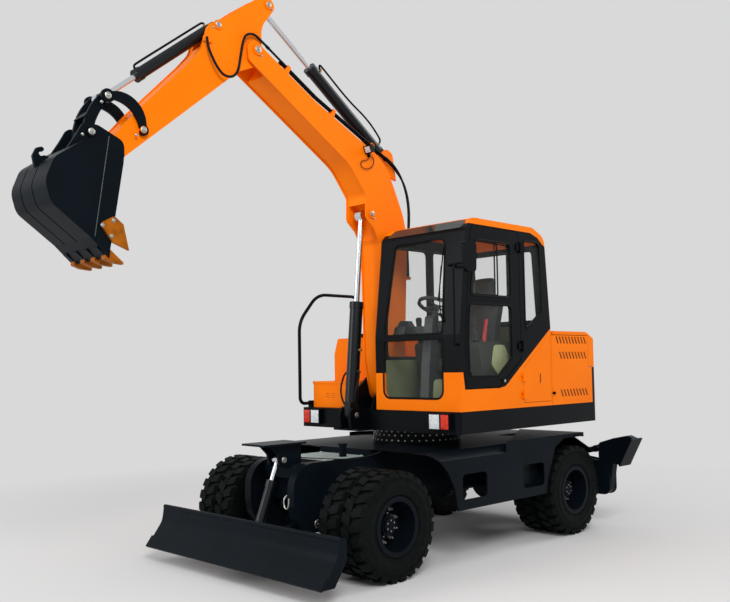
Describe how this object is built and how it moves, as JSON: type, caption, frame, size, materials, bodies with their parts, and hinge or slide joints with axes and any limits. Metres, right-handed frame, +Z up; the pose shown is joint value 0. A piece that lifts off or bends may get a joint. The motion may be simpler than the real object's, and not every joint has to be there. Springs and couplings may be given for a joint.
{
  "type": "wheeled excavator",
  "caption": "Wheeled excavator with a glazed cab, a boom, arm and bucket worked by rams, twin tyres on both axles, a front blade and folding rear outriggers.",
  "frame": {"origin": "on the ground under the axis about which the upper structure swings", "axes": "+X towards the blade, +Y to the machine's left, +Z up"},
  "size_m": [5.6739, 2.816, 4.9287],
  "materials": {
    "orange_paint": "gloss",
    "dark_paint": "satin",
    "tyre_rubber": "matt",
    "polished_rod": "polished",
    "window": "clear",
    "seat_cover": "matt",
    "cab_plastic": "matt",
    "ochre_steel": "satin",
    "lamp_lens": "clear",
    "hose_rubber": "satin",
    "engine_iron": "matt"
  },
  "bodies": {
    "chassis": {"frame": "dark_paint", "front_axle": "dark_paint", "rear_axle_and_shaft": "dark_paint", "outrigger_channel": "dark_paint"},
    "knuckle_left": {"knuckle_left": "dark_paint"},
    "knuckle_right": {"knuckle_right": "dark_paint"},
    "wheel_front_left": {"tyres_front_left": "tyre_rubber", "rims_front_left": "dark_paint"},
    "wheel_front_right": {"tyres_front_right": "tyre_rubber", "rims_front_right": "dark_paint"},
    "wheel_rear_left": {"tyres_rear_left": "tyre_rubber", "rims_rear_left": "dark_paint"},
    "wheel_rear_right": {"tyres_rear_right": "tyre_rubber", "rims_rear_right": "dark_paint"},
    "blade": {"blade": "dark_paint"},
    "blade_ram_barrel": {"blade_ram_barrel": "dark_paint"},
    "blade_ram_rod": {"blade_ram_rod": "polished_rod"},
    "outrigger_left": {"outrigger_left": "dark_paint"},
    "outrigger_right": {"outrigger_right": "dark_paint"},
    "outrigger_ram_barrel_left": {"outrigger_ram_barrel_left": "dark_paint"},
    "outrigger_ram_rod_left": {"outrigger_ram_rod_left": "polished_rod"},
    "outrigger_ram_barrel_right": {"outrigger_ram_barrel_right": "dark_paint"},
    "outrigger_ram_rod_right": {"outrigger_ram_rod_right": "polished_rod"},
    "upper": {"platform": "dark_paint", "counterweight": "dark_paint", "hood_sides": "orange_paint", "engine": "engine_iron", "cab_skirt": "orange_paint", "cab_posts": "dark_paint", "cab_roof": "orange_paint", "cab_glass": "window", "cab_mirror": "dark_paint", "seat": "seat_cover", "consoles": "cab_plastic", "steering_column": "cab_plastic", "handrail": "dark_paint", "front_lamps": "lamp_lens", "fuel_tank": "orange_paint", "tool_box": "orange_paint"},
    "cab_door": {"cab_door": "dark_paint", "door_glass": "window"},
    "access_door": {"access_door": "orange_paint"},
    "bonnet": {"bonnet": "orange_paint"},
    "tool_box_lid": {"tool_box_lid": "orange_paint"},
    "boom": {"boom": "orange_paint", "boom_fittings": "dark_paint", "boom_hoses": "hose_rubber", "arm_hose": "hose_rubber"},
    "boom_ram_barrel": {"boom_ram_barrel": "dark_paint"},
    "boom_ram_rod": {"boom_ram_rod": "polished_rod"},
    "arm_ram_barrel": {"arm_ram_barrel": "dark_paint"},
    "arm_ram_rod": {"arm_ram_rod": "polished_rod"},
    "arm": {"arm": "orange_paint"},
    "bucket_ram_barrel": {"bucket_ram_barrel": "dark_paint"},
    "bucket_ram_rod": {"bucket_ram_rod": "polished_rod"},
    "guide_links": {"guide_links": "dark_paint"},
    "bucket": {"bucket": "dark_paint", "bucket_teeth": "ochre_steel"},
    "bucket_link": {"bucket_link": "dark_paint"}
  },
  "joints": [
    {"name": "steer_left", "type": "hinge", "parent": "chassis", "child": "knuckle_left", "pos_m": [1.404, 0.48, 0.4325], "axis": [0, 0, 1], "range_deg": [-28, 28]},
    {"name": "spin_front_left", "type": "hinge", "parent": "knuckle_left", "child": "wheel_front_left", "pos_m": [1.404, 0.828, 0.4325], "axis": [0, 1, 0], "continuous": true},
    {"name": "spin_rear_left", "type": "hinge", "parent": "chassis", "child": "wheel_rear_left", "pos_m": [-1.154, 0.828, 0.4325], "axis": [0, 1, 0], "continuous": true},
    {"name": "steer_right", "type": "hinge", "parent": "chassis", "child": "knuckle_right", "pos_m": [1.404, -0.48, 0.4325], "axis": [0, 0, 1], "range_deg": [-28, 28]},
    {"name": "spin_front_right", "type": "hinge", "parent": "knuckle_right", "child": "wheel_front_right", "pos_m": [1.404, -0.828, 0.4325], "axis": [0, 1, 0], "continuous": true},
    {"name": "spin_rear_right", "type": "hinge", "parent": "chassis", "child": "wheel_rear_right", "pos_m": [-1.154, -0.828, 0.4325], "axis": [0, 1, 0], "continuous": true},
    {"name": "blade_lift", "type": "hinge", "parent": "chassis", "child": "blade", "pos_m": [1.6, 0, 0.4], "axis": [0, -1, 0], "range_deg": [-18, 20]},
    {"name": "blade_ram_swing", "type": "hinge", "parent": "blade", "child": "blade_ram_barrel", "pos_m": [2.015, 0, 0.235], "axis": [0, -1, 0], "range_deg": [-11.65, 10.49]},
    {"name": "blade_ram_stroke", "type": "slide", "parent": "blade_ram_barrel", "child": "blade_ram_rod", "axis": [-0.369, 0, 0.9294], "range_m": [-0.11425, 0.10285]},
    {"name": "outrigger_left_lower", "type": "hinge", "parent": "chassis", "child": "outrigger_left", "pos_m": [-1.76, 1.05, 0.4], "axis": [-1, 0, 0], "range_deg": [0, 100]},
    {"name": "outrigger_ram_left_swing", "type": "hinge", "parent": "chassis", "child": "outrigger_ram_barrel_left", "pos_m": [-1.76, 0.33, 0.64], "axis": [1, 0, 0], "range_deg": [-27.64, 0.06]},
    {"name": "outrigger_ram_left_stroke", "type": "slide", "parent": "outrigger_ram_barrel_left", "child": "outrigger_ram_rod_left", "axis": [0, 0.9726, 0.2324], "range_m": [-0.00097, 0.48574]},
    {"name": "outrigger_right_lower", "type": "hinge", "parent": "chassis", "child": "outrigger_right", "pos_m": [-1.76, -1.05, 0.4], "axis": [1, 0, 0], "range_deg": [0, 100]},
    {"name": "outrigger_ram_right_swing", "type": "hinge", "parent": "chassis", "child": "outrigger_ram_barrel_right", "pos_m": [-1.76, -0.33, 0.64], "axis": [-1, 0, 0], "range_deg": [-27.64, 0.06]},
    {"name": "outrigger_ram_right_stroke", "type": "slide", "parent": "outrigger_ram_barrel_right", "child": "outrigger_ram_rod_right", "axis": [0, -0.9726, 0.2324], "range_m": [-0.00097, 0.48574]},
    {"name": "swing", "type": "hinge", "parent": "chassis", "child": "upper", "pos_m": [0, 0, 1.01], "axis": [0, 0, 1], "continuous": true},
    {"name": "cab_door_open", "type": "hinge", "parent": "upper", "child": "cab_door", "pos_m": [-0.338, 1.049, 2.2], "axis": [0, 0, 1], "range_deg": [0, 160]},
    {"name": "access_door_open", "type": "hinge", "parent": "upper", "child": "access_door", "pos_m": [-0.338, 1.049, 1.48], "axis": [0, 0, 1], "range_deg": [-85, 0]},
    {"name": "bonnet_open", "type": "hinge", "parent": "upper", "child": "bonnet", "pos_m": [-0.846, 0, 1.986], "axis": [0, 1, 0], "range_deg": [0, 55]},
    {"name": "tool_box_lid_open", "type": "hinge", "parent": "upper", "child": "tool_box_lid", "pos_m": [0.335, -0.414, 1.53], "axis": [-1, 0, 0], "range_deg": [0, 80]},
    {"name": "boom_raise", "type": "hinge", "parent": "upper", "child": "boom", "pos_m": [0.215, -0.19, 1.455], "axis": [0, -1, 0], "range_deg": [-62, 8]},
    {"name": "arm_in", "type": "hinge", "parent": "boom", "child": "arm", "pos_m": [1.883, -0.19, 4.41], "axis": [0, 1, 0], "range_deg": [-55, 41]},
    {"name": "bucket_curl", "type": "hinge", "parent": "arm", "child": "bucket", "pos_m": [3.21, -0.19, 3.32], "axis": [0, 1, 0], "range_deg": [-45, 80]},
    {"name": "boom_ram_swing", "type": "hinge", "parent": "upper", "child": "boom_ram_barrel", "pos_m": [0.715, -0.19, 1.23], "axis": [0, -1, 0], "range_deg": [-60.52, 7.92]},
    {"name": "boom_ram_stroke", "type": "slide", "parent": "boom_ram_barrel", "child": "boom_ram_rod", "axis": [-0.0947, 0, 0.9955], "range_m": [-0.5664, 0.07407]},
    {"name": "arm_ram_swing", "type": "hinge", "parent": "boom", "child": "arm_ram_barrel", "pos_m": [0.225, -0.19, 3.765], "axis": [0, -1, 0], "range_deg": [-1.9, 2.55]},
    {"name": "arm_ram_stroke", "type": "slide", "parent": "arm_ram_barrel", "child": "arm_ram_rod", "axis": [0.8116, 0, 0.5843], "range_m": [-0.40655, 0.30327]},
    {"name": "bucket_ram_swing", "type": "hinge", "parent": "arm", "child": "bucket_ram_barrel", "pos_m": [2.269, -0.19, 4.533], "axis": [0, -1, 0], "range_deg": [-4.45, 2.51]},
    {"name": "bucket_ram_stroke", "type": "slide", "parent": "bucket_ram_barrel", "child": "bucket_ram_rod", "axis": [0.7759, 0, -0.6309], "range_m": [-0.13885, 0.24646]},
    {"name": "guide_links_turn", "type": "hinge", "parent": "arm", "child": "guide_links", "pos_m": [2.976, -0.19, 3.514], "axis": [0, -1, 0], "range_deg": [-43.77, 24.66]},
    {"name": "bucket_link_turn", "type": "hinge", "parent": "bucket", "child": "bucket_link", "pos_m": [3.405, -0.19, 3.42], "axis": [0, -1, 0], "range_deg": [-35.68, 63.33]}
  ],
  "couplings": [
    {"joint": "steer_right", "follows": "steer_left", "ratio": 1},
    {"joint": "blade_ram_swing", "follows": "blade_lift", "ratio": -0.58143},
    {"joint": "blade_ram_stroke", "follows": "blade_lift", "m_per_rad": -0.32665},
    {"joint": "outrigger_ram_left_swing", "follows": "outrigger_left_lower", "ratio": -0.2758},
    {"joint": "outrigger_ram_left_stroke", "follows": "outrigger_left_lower", "m_per_rad": 0.27775},
    {"joint": "outrigger_ram_right_swing", "follows": "outrigger_right_lower", "ratio": -0.2758},
    {"joint": "outrigger_ram_right_stroke", "follows": "outrigger_right_lower", "m_per_rad": 0.27775},
    {"joint": "boom_ram_swing", "follows": "boom_raise", "ratio": 0.97426},
    {"joint": "boom_ram_stroke", "follows": "boom_raise", "m_per_rad": 0.52238},
    {"joint": "arm_ram_swing", "follows": "arm_in", "ratio": -0.046241},
    {"joint": "arm_ram_stroke", "follows": "arm_in", "m_per_rad": 0.42267},
    {"joint": "bucket_ram_swing", "follows": "bucket_curl", "ratio": -0.055553},
    {"joint": "bucket_ram_stroke", "follows": "bucket_curl", "m_per_rad": 0.17616},
    {"joint": "guide_links_turn", "follows": "bucket_curl", "ratio": -0.546},
    {"joint": "bucket_link_turn", "follows": "bucket_curl", "ratio": 0.79}
  ]
}
